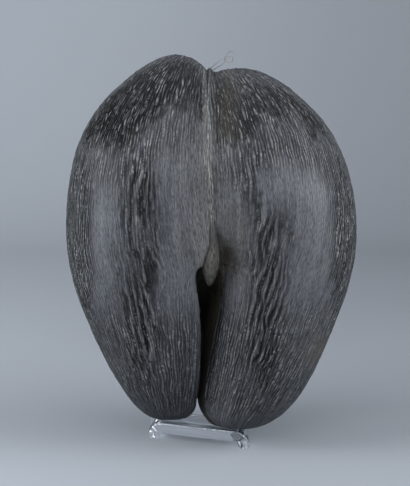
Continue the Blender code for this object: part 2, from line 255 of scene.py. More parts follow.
growth = {  # what makes the lobes unlike; each place is x, width, height above the tips and reach up and down
    "topSkew": 0.0058,  # how much higher and lower the lobes' tops stand, spread and from what height
    "topSkewSpread": 0.018,
    "topSkewFrom": (0.12, 0.11),
    "notchDip": 0.0066,
    "notchPlace": 0.0035,
    "notchReach": 0.0115,
    "notchFrom": (0.21, 0.08),
    "seamLean": 0.0036,
    "seamLeanReach": 0.030,
    "seamLeanFrom": (0.15, 0.14),
    "cleftLean": 0.0060,
    "cleftTop": 0.135,
    "cleftReach": 0.080,
    "cleftSlant": 0.19,
    "slantPivot": 0.0486,
    "tipTwist": 0.015,  # how far the tips are set off in depth, and the spread of the change
    "tipTwistSpread": 0.015,
    "rimDraw": 0.0035,  # how far the arch's rims are drawn to the left, on the right and the left lobe
    "rimDrawPlace": (0.011, 0.010, 0.130, 0.020),
    "leftDraw": 0.0020,
    "leftDrawPlace": (-0.010, 0.009, 0.136, 0.016),
    "hollow": 0.0064,  # depth of the hollow to the right of the tongue
    "hollowPlace": (0.0155, 0.0070, 0.143, 0.018),
    "seamBump": 0.0022,  # height of the seam's lip in the notch, and the x and width of lip and groove
    "seamLip": (0.0027, 0.0017),
    "seamGroove": (-0.0006, 0.0013),
    "seamBumpFrom": (0.27, 0.02),
}
slantShare = (  # how much of the cleft's slant there is at each height
    (0.0, 0.58), (0.010, 0.68), (0.022, 0.84), (0.035, 0.96), (0.045, 1.0), (0.120, 1.0), (0.140, 0.84),
    (0.160, 0.50), (0.180, 0.16), (0.200, 0.0),
)
tongue = {
    "line": ((0.0014, -0.0520, 0.225), (0.0014, -0.0575, 0.195), (0.0006, -0.0602, 0.168),
             (-0.0006, -0.0606, 0.148), (-0.0014, -0.0598, 0.134), (-0.0018, -0.0572, 0.1255)),
    "halfWidth": 0.0082,
    "halfDepth": 0.0110,
    "fullFrom": 0.62,  # share of its length after which it has its whole depth
    "skirt": 0.0032,  # how far the shell swells round its root, and where
    "skirtX": 0.0010,
    "skirtWidth": 0.0085,
    "skirtTop": (0.200, 0.045),
    "skirtFoot": (0.138, 0.010),
    "rings": 80,
    "sides": 64,
}


def bulge(x, z, place):
    middle, width, height, reach = place
    return bell(x - middle, width) * bell(z - height, reach)


def seamShift(z):  # how far the seam leans to the left at a height
    return growth["seamLean"] * grown(z, *growth["seamLeanFrom"])


def grow(points, side):
    # The lobes grow unlike: a notch over the seam, the left lobe higher, the seam and the cleft leaning to the
    # left, the cleft slanting to the left towards the back, and the tips set off from each other in depth.
    x, y, z = side * points[..., 0], points[..., 1], points[..., 2]
    right, left = (y < 0) * (side > 0), (y < 0) * (side < 0)
    low = np.clip(1 - z / growth["cleftTop"], 0, 1)
    near = np.clip(1 - (x / growth["cleftReach"]) ** 2, 0, 1) ** 2
    slant = growth["cleftSlant"] * along(slantShare, z) * (y + growth["slantPivot"])
    shift = (growth["cleftLean"] * low + slant) * near
    shift += seamShift(z) * bell(x, growth["seamLeanReach"])
    shift += growth["rimDraw"] * bulge(x, z, growth["rimDrawPlace"]) * right
    shift += growth["leftDraw"] * bulge(x, z, growth["leftDrawPlace"]) * left
    notch = growth["notchDip"] * bell(x - growth["notchPlace"], growth["notchReach"])
    notch *= grown(z, *growth["notchFrom"])
    skew = growth["topSkew"] * np.tanh(x / growth["topSkewSpread"]) * grown(z, *growth["topSkewFrom"])
    twist = growth["tipTwist"] * np.tanh(x / growth["tipTwistSpread"]) * low**2
    hollow = growth["hollow"] * bulge(x, z, growth["hollowPlace"]) * right
    swell = tongue["skirt"] * bell(x - tongue["skirtX"], tongue["skirtWidth"]) * (y < 0)
    swell = swell * faded(z, *tongue["skirtTop"]) * grown(z, *tongue["skirtFoot"])
    (lipX, lipWidth), (grooveX, grooveWidth) = growth["seamLip"], growth["seamGroove"]
    lip = bell(x - lipX, lipWidth) - 0.6 * bell(x - grooveX, grooveWidth)
    seamTop = growth["seamBump"] * lip * grown(z, *growth["seamBumpFrom"])
    return np.stack([x - shift, y - twist - swell + hollow, z - notch - skew + seamTop], -1)


def wrinkles(points, run, seed):
    # Fine ridges that follow the columns at one pitch everywhere: clouds of noise, smeared down the columns
    fine = smear(cloudNoise(points, 0.0016, seed + 1), run, 0.0075)
    beads = smear(cloudNoise(points, 0.0015, seed + 2), run, 0.0028)
    return fine, beads


def furrowWave(points, across, seed):
    # Long furrows: a cosine across the shell at the furrows' pitch, whose phase and height drift with noise
    slow = cloudNoise(points * (1, 1, 0.55), 0.0100, seed + 3)
    quick = cloudNoise(points * (1, 1, 0.50), 0.0042, seed + 4)
    phase = across / nut["furrowPitch"] + 0.50 * slow + 0.15 * quick
    tall = np.clip(0.95 + 0.6 * cloudNoise(points * (1, 1, 0.33), 0.0050, seed + 6), 0.1, 1.9)
    return (2 * (0.5 + 0.5 * np.cos(2 * math.pi * phase)) ** 1.4 - 0.9) * tall


def wander(values, points, run, seed):
    # Moves the pattern sideways by a slowly changing number of columns, so that the ridges waver
    rows, columns = values.shape
    drift = smear(cloudNoise(points, 0.009, seed), run, 0.006) * 1.1
    edge = np.minimum(np.arange(columns), columns - 1 - np.arange(columns)) / 8.0
    place = np.clip(np.arange(columns) + drift * np.clip(edge, 0, 1), 0, columns - 1.001)
    left = place.astype(int)
    share = place - left
    row = np.arange(rows)[:, None]
    return values[row, left] * (1 - share) + values[row, left + 1] * share


patchBorder = (  # lower edge of the streaked patches on the shoulders, as height against x
    (-0.115, 0.220), (-0.100, 0.2275), (-0.064, 0.2280), (-0.056, 0.236), (-0.046, 0.244), (-0.037, 0.257),
    (-0.017, 0.259), (-0.006, 0.250), (0.004, 0.228), (0.030, 0.230), (0.037, 0.248), (0.062, 0.247),
    (0.072, 0.240), (0.100, 0.224), (0.112, 0.212),
)
backBorder = 0.225
# spots rubbed smooth, whose lighter grey base colour is a painted sheen
rubbedSheenSpots = (  # x, height, times taller than wide, reach, strength
    (-0.083, 0.178, 1.75, 0.022, 1.0), (0.080, 0.178, 1.9, 0.023, 1.0),
    (-0.027, 0.190, 2.4, 0.017, 0.75), (0.060, 0.160, 1.6, 0.018, 0.6),
)
# a brown stain, and two spots whose strength above 1 marks painted shade in the hollows beside the tongue
brownAndShadeSpots = (
    (0.084, 0.070, 1.0, 0.012, 1.0), (0.0108, 0.149, 2.4, 0.0068, 1.9), (-0.0070, 0.1415, 1.5, 0.0036, 1.9),
)
furrowedBands = (  # x, lean, width, foot and the height it grows over, top and the height it fades over, strength
    (-0.055, 0.0, 0.0165, 0.004, 0.10, 0.252, 0.045, 1.25),
    (0.0435, 0.06, 0.0175, 0.010, 0.06, 0.215, 0.055, 1.2),
    (0.031, 0.0, 0.012, 0.150, 0.03, 0.250, 0.030, 0.75),
)
brownBands = (
    (0.016, 0.0, 0.009, 0.120, 0.02, 0.205, 0.050, 1.0),
    (0.013, 0.0, 0.008, 0.225, 0.02, 0.400, 0.050, 0.5),
)


def strongestSpot(x, z, spots):
    total = np.zeros_like(x)
    for middle, height, taller, reach, strength in spots:
        distance = np.hypot(x - middle, (z - height) / taller)
        total = np.maximum(total, strength * bell(distance, reach))
    return total


def strongestBand(x, z, bands):
    total = np.zeros_like(x)
    for middle, lean, width, low, growing, high, fading, strength in bands:
        band = strength * bell(x - middle - lean * (z - 0.15), width)
        total = np.maximum(total, band * grown(z, low, growing) * faded(z, high, fading))
    return total


def zoneMasks(points):
    # Where the real shell is streaked, polished, furrowed, brown, lined or dotted, from the place on the grown nut;
    # the polished spots also carry a painted sheen, and brown above 1 stands for painted shade
    x, z = points[..., 0], points[..., 2]
    front = soft((0.02 - points[..., 1]) / 0.03)
    ragged = 0.0045 * cloudNoise(points * (1, 1, 0.5), 0.0060, 91)
    border = along(patchBorder, x) * front + backBorder * (1 - front) + ragged
    fromSeam = x + seamShift(z)
    besideSeam = np.where(fromSeam > 0, soft((fromSeam - 0.0035) / 0.004), soft((-fromSeam - 0.0012) / 0.003))
    shoulder = np.clip((z - border) / 0.030 + 0.5, 0, 1) * besideSeam
    shoulder = shoulder * (1 - 0.50 * bell(points[..., 1] + 0.006, 0.014)) * (1 - 0.15 * soft(fromSeam / 0.03))
    shoulder = shoulder * (1 - (0.20 + 0.17 * soft(fromSeam / 0.01)) * soft((z - 0.258) / 0.035))
    rubAndSheen = strongestSpot(x, z, rubbedSheenSpots)
    loose = 0.25 * cloudNoise(points * (1, 1, 0.4), 0.0060, 92)
    furrow = np.clip(strongestBand(x, z, furrowedBands) * (1 + loose) - 0.08, 0, 1)
    brown = np.maximum(strongestBand(x, z, brownBands), strongestSpot(x, z, brownAndShadeSpots))
    lined = bell(x + 0.004, 0.017) * soft((z - 0.13) / 0.02) * (0.4 + 0.6 * soft((0.262 - z) / 0.03))
    lowDown = soft((0.135 - z) / 0.05) * (0.3 + 0.7 * soft(z / 0.035))
    dotty = np.maximum(lowDown, 1.8 * soft((np.abs(x) - 0.086) / 0.012))
    dotty = np.maximum(dotty, 1.5 * soft((0.040 + z - border) / 0.034) * (1 - 0.6 * lined))
    dotty = np.maximum(dotty, 1 - front) * (1 - shoulder)
    return {"shoulder": shoulder, "rubAndSheen": rubAndSheen * front, "furrow": furrow * front, "brown": brown * front,
            "lined": lined * front, "dotty": dotty}


seam = {
    "strands": ((-0.0034, 0.00030, 0.4), (-0.0018, 0.00028, 0.5), (-0.0002, 0.00042, 1.0),
                (0.0014, 0.00028, 0.7)),  # place across the seam, width, strength
    "sway": 0.0005,
    "from": 0.118,
}


def seamStrands(x, z):  # a few long strands that wander down the seam and come and go
    total = np.zeros_like(x)
    for number, (offset, width, strength) in enumerate(seam["strands"]):
        line = offset + seam["sway"] * np.sin(z * (70 + 23 * number) + 1.7 * number)
        broken = soft(0.5 + 1.5 * np.sin(z * (150 + 40 * number) + 2.3 * number * number))
        total = np.maximum(total, bell(x - line, width) * strength * (0.45 + 0.55 * broken))
    return total * soft((z - seam["from"]) / 0.06)


markNames = ("wave", "crest", "shoulder", "rubAndSheen", "brown", "seam", "furrow", "lined", "dotty", "crowd")


def markTable(like, **marks):  # one row for each point, with 0 for the marks that aren't given
    columns = [marks.get(key, 0.0) + np.zeros_like(like) for key in markNames]
    return np.stack(columns, -1).reshape(-1, len(columns))


def acrossShell(skin, archRow, side):
    # Distance across the shell: that of a row just above the arch, and higher up partly that of each row itself,
    # so that threads neither crowd nor part. On the right lobe it shifts with height, and the furrows lean.
    spread = np.linalg.norm(np.diff(archRow, axis=0), axis=-1)
    steps = np.linalg.norm(np.diff(skin, axis=1), axis=-1)
    straight = np.concatenate([skin[:, :1, 0], steps], axis=1).cumsum(axis=1)
    share = nut["straightShare"] * soft((skin[:, :1, 2] - 0.10) / 0.10)
    start = 0.4 if side > 0 else 1.1  # far from each other, so that the lobes' patterns are unlike
    across = (1 - share) * np.concatenate([[0], np.cumsum(spread)]) + share * straight + start
    if side > 0:
        fade = soft(skin[..., 0] / 0.05) * soft(-skin[..., 1] / 0.03)
        across = across - nut["rightLean"] * (np.minimum(skin[..., 2], 0.19) - 0.15) * fade
    return across


relief = {  # heights as shares of the ridges' height
    "wave": 0.16,
    "crest": 0.22,
    "shoulderCrest": 0.55,
    "furrowWave": 0.80,
    "furrowCrest": 0.45,
    "rubbedAway": 0.75,
    "linedAway": 0.5,
    "seam": 0.7,
    "strand": 0.6,
    "groove": 1.2,
    "grooveX": 0.0042,
    "wall": 0.35,
}


def skinPatch(skin, crestRow, archRow, side, seed):
    # Outer skin of a lobe: its grown points, their relief, their marks and their flow map
    place = grow(skin, side)
    run = runLength(place)
    run -= run[crestRow]
    fine, beads = (wander(values, place, run, seed + 5) for values in wrinkles(place, run, seed))
    across = acrossShell(skin, archRow, side)
    zones = zoneMasks(place)
    wave = furrowWave(place, across, seed)
    crest = np.clip(fine * 0.6 + beads * 0.5, -1.3, 2.4)
    height = relief["wave"] * wave + relief["crest"] * crest
    height = height * (1 - zones["shoulder"]) + zones["shoulder"] * relief["shoulderCrest"] * crest
    height = height * (1 - relief["rubbedAway"] * zones["rubAndSheen"]) * (1 - relief["linedAway"] * zones["lined"])
    height = height + zones["furrow"] * (relief["furrowWave"] * wave + relief["furrowCrest"] * crest)
    # the seam: a raised strip with its strands and a groove at its right
    x, y, z = skin[..., 0] * side, skin[..., 1], skin[..., 2]
    onSeam = bell(x, 0.0022) * soft((z - 0.125) / 0.02) * (1 - 0.5 * soft(y / 0.02))
    strand = seamStrands(x, z)
    groove = bell(x - relief["grooveX"], 0.0012) * (y < 0) * soft((z - 0.16) / 0.03)
    height = height * (1 - onSeam) + onSeam * relief["seam"] + strand * relief["strand"]
    height = height - relief["groove"] * groove
    # quiet where the columns run together, as they do in the tip
    spacing = np.linalg.norm(np.gradient(place, axis=1), axis=-1)
    height *= soft(np.abs(z) / 0.004)
    height *= soft(spacing / 0.0003)
    unit = spacing / np.gradient(across, axis=1)
    crowd = -np.log(np.maximum(unit, 1e-3)) / math.log(1.5)
    marks = markTable(height, wave=wave, crest=crest, seam=strand, crowd=crowd, **zones)
    return place, height, marks, np.stack([across, run], -1)


def wallPatch(wall, through, side, seed):
    # Wall of the cleft, brown and softly lined; its brown mark of 1.9 also darkens it as painted shade
    place = grow(wall, side)
    run = runLength(place)
    lines = smear(cloudNoise(place, 0.004, seed + 9), run, 0.02)
    height = relief["wall"] * lines * (np.sin(math.pi * through[..., 0]) * soft(wall[..., 0] / 0.003))
    marks = markTable(height, wave=0.3, crest=lines * 0.4, brown=1.9, lined=0.8)
    return place, height, marks, np.stack([through[..., 0] * 0.05 + 2.0 + np.zeros_like(run), run], -1)


def weld(points, quads):
    # Joins grid points that lie on the same place. Gives the index of each old point in the new list.
    keys = np.round(points * 2e6).astype(np.int64)
    first, index = np.unique(keys, axis=0, return_index=True, return_inverse=True)[1:]
    index = index.ravel()
    return points[first], index[quads], index


def sewn(points, quads, flow, values):
    # Welded points and quads, the flow map of each quad's corners and the mean values of each point
    corners = flow[quads.ravel()]
    points, quads, index = weld(points, quads)
    total = np.zeros((len(points), values.shape[1]))
    np.add.at(total, index, values)
    return points, quads, corners, total / np.bincount(index, minlength=len(points))[:, None]


def pointNormals(points, quads):
    a, b, c, d = (points[corner] for corner in quads.T)
    across = np.cross(c - a, d - b)
    total = np.zeros_like(points)
    for corner in quads.T:
        np.add.at(total, corner, across)
    return total / np.maximum(np.linalg.norm(total, axis=1, keepdims=True), 1e-12)


def inFrame(points):  # moves points from the nut's own place to where the solid stands
    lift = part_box("nut")[0][2]
    return points + (*nut["middle"], lift - nut["flatHeight"])


def meshFromQuads(name, points, quads, corners, marks, made):
    # Quads with two corners on one point become triangles, and those with fewer corners are left out
    keep = quads != np.roll(quads, -1, axis=1)
    size = keep.sum(axis=1)
    good = size >= 3
    keep &= good[:, None]
    size = size[good]
    mesh = bpy.data.meshes.new(name)
    mesh.vertices.add(len(points))
    mesh.vertices.foreach_set("co", points.astype(np.float32).ravel())
    mesh.loops.add(int(size.sum()))
    mesh.loops.foreach_set("vertex_index", quads[keep].astype(np.int32))
    mesh.polygons.add(len(size))
    mesh.polygons.foreach_set("loop_start", np.concatenate([[0], np.cumsum(size)[:-1]]).astype(np.int32))
    mesh.update(calc_edges=True)
    mesh.validate()
    uv = mesh.uv_layers.new(name="flow")
    uv.data.foreach_set("uv", corners[keep.ravel()].astype(np.float32).ravel())
    for column, key in enumerate(markNames):
        layer = mesh.attributes.new(key, "FLOAT", "POINT")
        layer.data.foreach_set("value", marks[:, column].astype(np.float32))
    return addPiece(name, mesh, made)


def buildNut(made):
    rows = nut["rowsAbove"] + nut["rowsBelow"] + 1
    back = lobeSide(backRim, nut["backSeamEnd"], nut["backDepth"], backForm, nut["backRimShape"])
    through = np.linspace(0, 1, nut["wallColumns"] + 1)[None, :, None]
    points, quads, values, flow, count = [], [], [], [], 0
    for side in (1, -1):
        seed = nut["seed"] + (0 if side > 0 else 20)
        rimShape = nut["rightRimShape"] if side > 0 else nut["leftRimShape"]
        front = lobeSide(frontRim, nut["seamEnd"], -nut["frontDepth"], frontForm, rimShape)
        skin = np.concatenate([front[::-1], back[1:]])  # from the front tip over the top to the back tip
        wall = front[nut["rowsAbove"]:, :1] * (1 - through) + back[nut["rowsAbove"]:, :1] * through
        # the walls bulge towards each other, most just above the tips
        close = 0.45 + 0.35 * soft((0.055 - wall[..., 2]) / 0.03) * soft((wall[..., 2] - 0.004) / 0.016)
        wall[..., 0] *= 1 - close * np.sin(math.pi * through[..., 0])
        archRow = front[nut["rowsAbove"] - 12]
        for turned, patch in ((side > 0, skinPatch(skin, rows - 1, archRow, side, seed)),
                              (side < 0, wallPatch(wall, through, side, seed))):
            place, height, marks, flowMap = patch
            points.append(place.reshape(-1, 3))
            values.append(np.hstack([height.reshape(-1, 1), marks]))
            flow.append(flowMap.reshape(-1, 2))
            quads.append(gridFaces(*place.shape[:2], count, turned))
            count += height.size
    points, quads, corners, values = sewn(*(np.vstack(part) for part in (points, quads, flow, values)))
    points = points + pointNormals(points, quads) * values[:, :1] * nut["ridgeHeight"]
    points = inFrame(np.maximum(points, (-9, -9, nut["flatHeight"])))
    return meshFromQuads("nutShell", points, quads, corners, values[:, 1:], made)


def buildTongue(made):
    # A round tube along its line, thick in the middle and closed at both ends, with strands down its length
    turn = np.linspace(0, math.pi, tongue["rings"])
    share = (1 - np.cos(turn)) / 2
    line = curveThrough(tongue["line"], share)
    size = soft(share / tongue["fullFrom"]) * 0.9 + 0.1
    blunt = np.sqrt(np.clip(1 - np.clip((share - 0.80) / 0.20, 0, 1) ** 2, 0, 1))
    size = size * blunt * np.clip(share / 0.02, 0, 1)
    around = np.linspace(0, 2 * math.pi, tongue["sides"] + 1)
    ring = np.stack([np.cos(around), np.sin(around)], -1)
    strands = 1 + 0.030 * np.sin(9 * around + 2.0 * np.sin(18 * share[:, None])) * np.sin(turn)[:, None]
    wide = size * (0.30 + 0.70 * soft((share - 0.42) / 0.42)) * (1 - 0.28 * soft((share - 0.76) / 0.20))
    x = line[:, :1] + tongue["halfWidth"] * wide[:, None] * strands * ring[:, 0]
    y = line[:, 1:2] + tongue["halfDepth"] * size[:, None] * strands * ring[:, 1]
    points = np.stack([x, y, line[:, 2:] + 0 * x], -1)
    run = runLength(points)
    fine = smear(cloudNoise(points, 0.0018, 41), run, 0.008)
    flow = np.stack([np.tile(around / (2 * math.pi) * 0.05 + 3.0, (len(share), 1)), run], -1)
    low = soft((share[:, None] - 0.40) / 0.35)
    strand = bell(x - line[:, :1] - 0.0008 * np.sin(10 * share[:, None]), 0.0014)
    strand = strand * (y < line[:, 1:2]) * (0.42 + 0.40 * np.clip(fine, -1, 1))
    # the brown mark rises above 1 on the tongue's sides low down, for painted shade
    marks = markTable(x, wave=0.35 + 0.5 * fine, crest=0.5 * fine, seam=strand, furrow=0.6 * low,
                      brown=low * (0.9 + 0.8 * ring[:, 0] ** 2), lined=1 - 0.8 * low, dotty=0.9 * low)
    quads = gridFaces(*x.shape, 0, turned=False)
    points, quads, corners, marks = sewn(points.reshape(-1, 3), quads, flow.reshape(-1, 2), marks)
    return meshFromQuads("seamTongue", inFrame(points), quads, corners, marks, made)


def feed(tree, node, *sources):  # links outputs to a node's sockets and sets plain values
    for socket, source in sources:
        if hasattr(source, "links"):
            tree.links.new(source, node.inputs[socket])
        else:
            node.inputs[socket].default_value = source


def nodeMaker(tree):
    def make(kind, *sources, **values):
        node = tree.nodes.new(kind)
        for key, value in values.items():
            setattr(node, key, value)
        feed(tree, node, *sources)
        return node
    return make


def numberMaker(make):
    def maths(kind, first, second=0.0, third=0.0, clamp=False):
        node = make("ShaderNodeMath", (0, first), (1, second), (2, third), operation=kind, use_clamp=clamp)
        return node.outputs[0]

    def times(first, second):
        return maths("MULTIPLY", first, second)

    def scaled(value, factor, added, clamp=False):
        return maths("MULTIPLY_ADD", value, factor, added, clamp)

    def step(value, low, high):  # 0 at low and 1 at high, softly
        node = make("ShaderNodeMapRange", ("Value", value), ("From Min", low), ("From Max", high),
                    interpolation_type="SMOOTHSTEP")
        return node.outputs["Result"]
    return maths, times, scaled, step


def newMaterial(name):
    made = bpy.data.materials.new(name)
    made.use_nodes = True
    return made, made.node_tree.nodes["Principled BSDF"], nodeMaker(made.node_tree)


def newGroup(name, inputs, outputs):  # a node group that takes a place and numbers, and gives numbers
    group = bpy.data.node_groups.new(name, "ShaderNodeTree")
    group.interface.new_socket("Vector", in_out="INPUT", socket_type="NodeSocketVector")
    for key, value in inputs.items():
        group.interface.new_socket(key, in_out="INPUT", socket_type="NodeSocketFloat").default_value = value
    for key in outputs:
        group.interface.new_socket(key, in_out="OUTPUT", socket_type="NodeSocketFloat")
    make = nodeMaker(group)
    given = make("NodeGroupInput").outputs
    apart = make("ShaderNodeSeparateXYZ", ("Vector", given["Vector"])).outputs
    return group, make, given, apart


def ramp(make, source, stops):  # a colour for each place along a value
    node = make("ShaderNodeValToRGB", ("Fac", source))
    node.color_ramp.interpolation = "EASE"
    for element, (place, colour) in zip(node.color_ramp.elements, stops):
        element.position = place
        element.color = (*colour, 1)
    return node.outputs["Color"]


def makeStreakGroup():
    # Lengthwise grain on the flow map, whose streaks waver sideways
    group, make, given, apart = newGroup(
        "lengthwiseStreaks", {"Across": 600.0, "Down": 80.0, "Waver": 0.001, "Seed": 0.0}, ("Value", "Line"))
    maths, times, scaled, step = numberMaker(make)
    slowX, slowY = times(apart["X"], 110.0), times(apart["Y"], 75.0)
    slow = make("ShaderNodeCombineXYZ", ("X", slowX), ("Y", slowY), ("Z", given["Seed"]))
    drift = make("ShaderNodeTexNoise", ("Vector", slow.outputs[0]), ("Scale", 1.0), ("Detail", 1.0))
    centred = maths("SUBTRACT", drift.outputs["Fac"], 0.5)
    x = times(scaled(centred, given["Waver"], apart["X"]), given["Across"])
    y = times(apart["Y"], given["Down"])
    place = make("ShaderNodeCombineXYZ", ("X", x), ("Y", y), ("Z", given["Seed"]))
    noise = make("ShaderNodeTexNoise", ("Vector", place.outputs[0]), ("Scale", 1.0), ("Detail", 2.0),
                 ("Roughness", 0.55)).outputs["Fac"]
    distance = maths("ABSOLUTE", maths("SUBTRACT", noise, 0.5))
    make("NodeGroupOutput", ("Value", noise), ("Line", step(distance, 0.075, 0.0)))
    return group


def makeThreadGroup():
    # Ridges side by side down the flow map. Level says how the columns crowd there, in steps of one and a half
    # times, and each step thins the ridges as much, so that their pitch on the shell stays nearly the same.
    group, make, given, apart = newGroup(
        "ridgeThreads", {"Level": 0.0, "Across": 416.0, "Seed": 0.0}, ("Ridge", "Long", "Short"))
    maths, times, scaled, step = numberMaker(make)

    def noise(x, downScale, detail=0.0):
        y = times(apart["Y"], downScale)
        place = make("ShaderNodeCombineXYZ", ("X", x), ("Y", y), ("Z", given["Seed"]))
        node = make("ShaderNodeTexNoise", ("Vector", place.outputs[0]), ("Scale", 1.0), ("Detail", detail))
        return node.outputs["Fac"]

    level = maths("MAXIMUM", given["Level"], 0.0)
    whole = maths("FLOOR", level)
    share = step(maths("SUBTRACT", level, whole), 0.2, 0.8)
    drift = maths("SUBTRACT", noise(times(apart["X"], 90.0), 60.0), 0.5)
    moved = scaled(drift, 0.0030, apart["X"])
    found = []
    for thinning in (0.0, 1.0):
        pitch = maths("POWER", 1 / 1.5, maths("ADD", whole, thinning))
        x = times(moved, times(pitch, given["Across"]))
        x = scaled(noise(times(x, 0.8), 55.0, 1.0), 1.6, x)
        cell = maths("ROUND", x)
        distance = maths("ABSOLUTE", maths("SUBTRACT", x, cell))
        thin = step(distance, 0.30, 0.10)
        own = times(cell, 5.17)  # sets each thread's dashes off from its neighbours'
        longer = step(noise(own, 150.0, 2.0), 0.42, 0.60)
        shorter = step(noise(own, 430.0), 0.44, 0.58)
        ridge = step(distance, 0.40, 0.08)
        found.append((ridge, times(thin, longer), times(thin, shorter)))
    out = make("NodeGroupOutput")
    for name, first, second in zip(("Ridge", "Long", "Short"), *found):
        blend = make("ShaderNodeMix", (0, share), (2, first), (3, second), data_type="FLOAT").outputs[0]
        group.links.new(blend, out.inputs[name])
    return group


shellLook = {
    "dark": (0.0035, 0.0035, 0.0036),
    "ground": (0.0325, 0.0340, 0.0385),
    "grey": (0.106, 0.113, 0.127),
    "warmGrey": (0.118, 0.117, 0.116),
    "pale": (0.228, 0.230, 0.232),
    "seam": (0.350, 0.338, 0.305),
    "brown": (0.100, 0.088, 0.070),
    "brownShare": 0.44,
    "hollowShade": 0.45,
    "grainShade": 0.42,
    "grain": (1300.0, 240.0, 0.0015, 3.0),  # streaks to a metre across and down, waver and seed
    "mottle": (560.0, 120.0, 0.0020, 23.0),
    "hair": (620.0, 30.0, 0.0008, 11.0),
    "bands": (210.0, 14.0, 0.0060, 31.0),
    "threads": (416.0, 5.0),  # threads to a metre, and seed
    "roughness": 0.62,
    "polish": 0.53,
    "polishRoughness": 0.42,
    "specular": 0.04,
    "grainBump": 0.00045,
}


